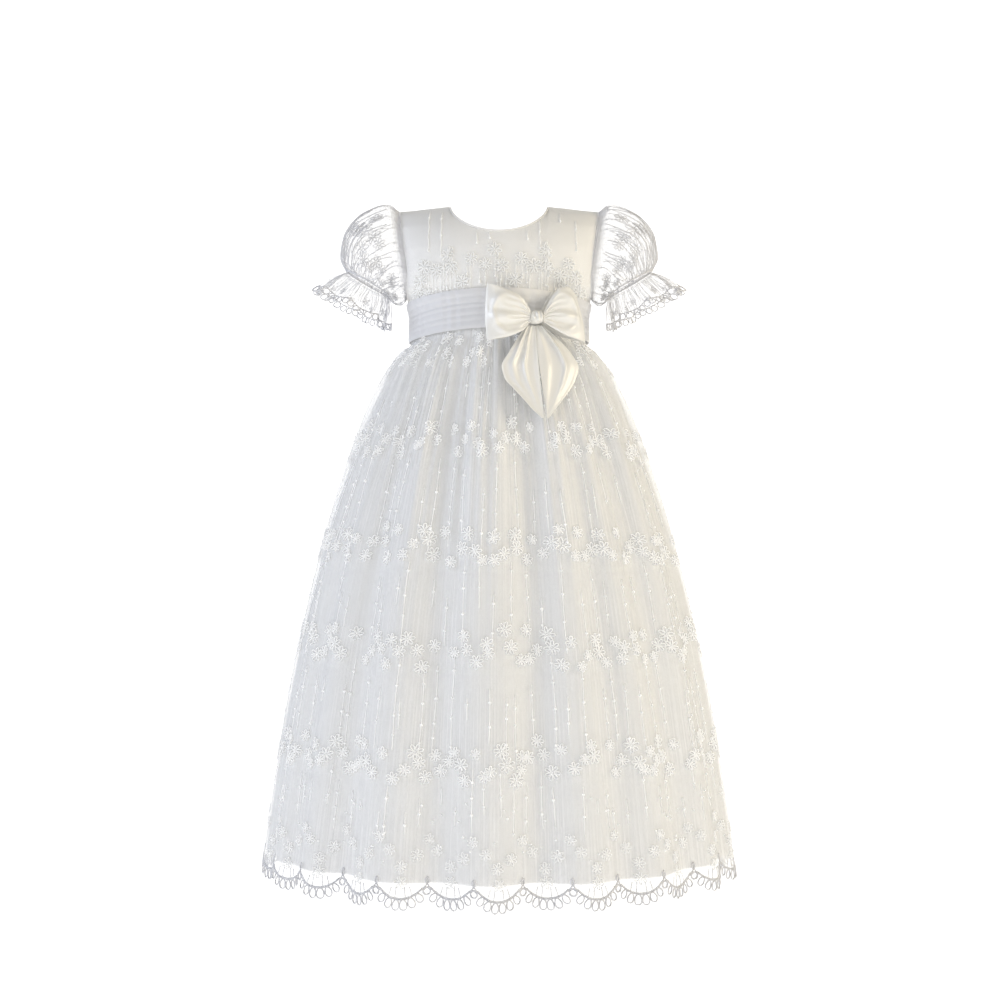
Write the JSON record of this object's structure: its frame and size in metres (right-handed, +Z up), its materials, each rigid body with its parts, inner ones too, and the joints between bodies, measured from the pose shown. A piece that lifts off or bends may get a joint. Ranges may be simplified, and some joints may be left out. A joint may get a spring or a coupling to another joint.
{
  "type": "christening gown",
  "caption": "Long baby gown with puff sleeves, a pleated sash with a satin bow, and a gathered tulle skirt with a lace hem, hollow as if worn.",
  "frame": {"origin": "middle of the neck, level with the top of the shoulder seams, where the wearer's shoulders hold the gown", "axes": "+Z up along the gown's length, -Y the front, +X to the right as seen from the front"},
  "size_m": [0.4484, 0.2568, 0.6349],
  "materials": {
    "tulle": "sheer embroidered tulle, matte with a faint thread sheen",
    "lining": "smooth opaque lining, matte",
    "organza": "sheer pleated organza, soft sheen",
    "satin": "ivory satin, glossy",
    "pearl": "pearly gloss"
  },
  "bodies": {
    "root": {"bodice_front": "tulle", "bodice_back_left": "tulle", "bodice_back_right": "tulle", "button_1": "pearl", "button_2": "pearl", "button_3": "pearl", "sleeve_left": "tulle", "sleeve_right": "tulle", "ruffle_left_front": "tulle", "ruffle_left_back": "tulle", "ruffle_right_front": "tulle", "ruffle_right_back": "tulle", "sash": "organza", "bow_loop_left": "satin", "bow_loop_right": "satin", "bow_knot": "satin", "bow_tail_left": "satin", "bow_tail_right": "satin", "skirt_front": "tulle", "skirt_back": "tulle", "skirt_lining_front": "lining", "skirt_lining_back": "lining"}
  },
  "joints": []
}
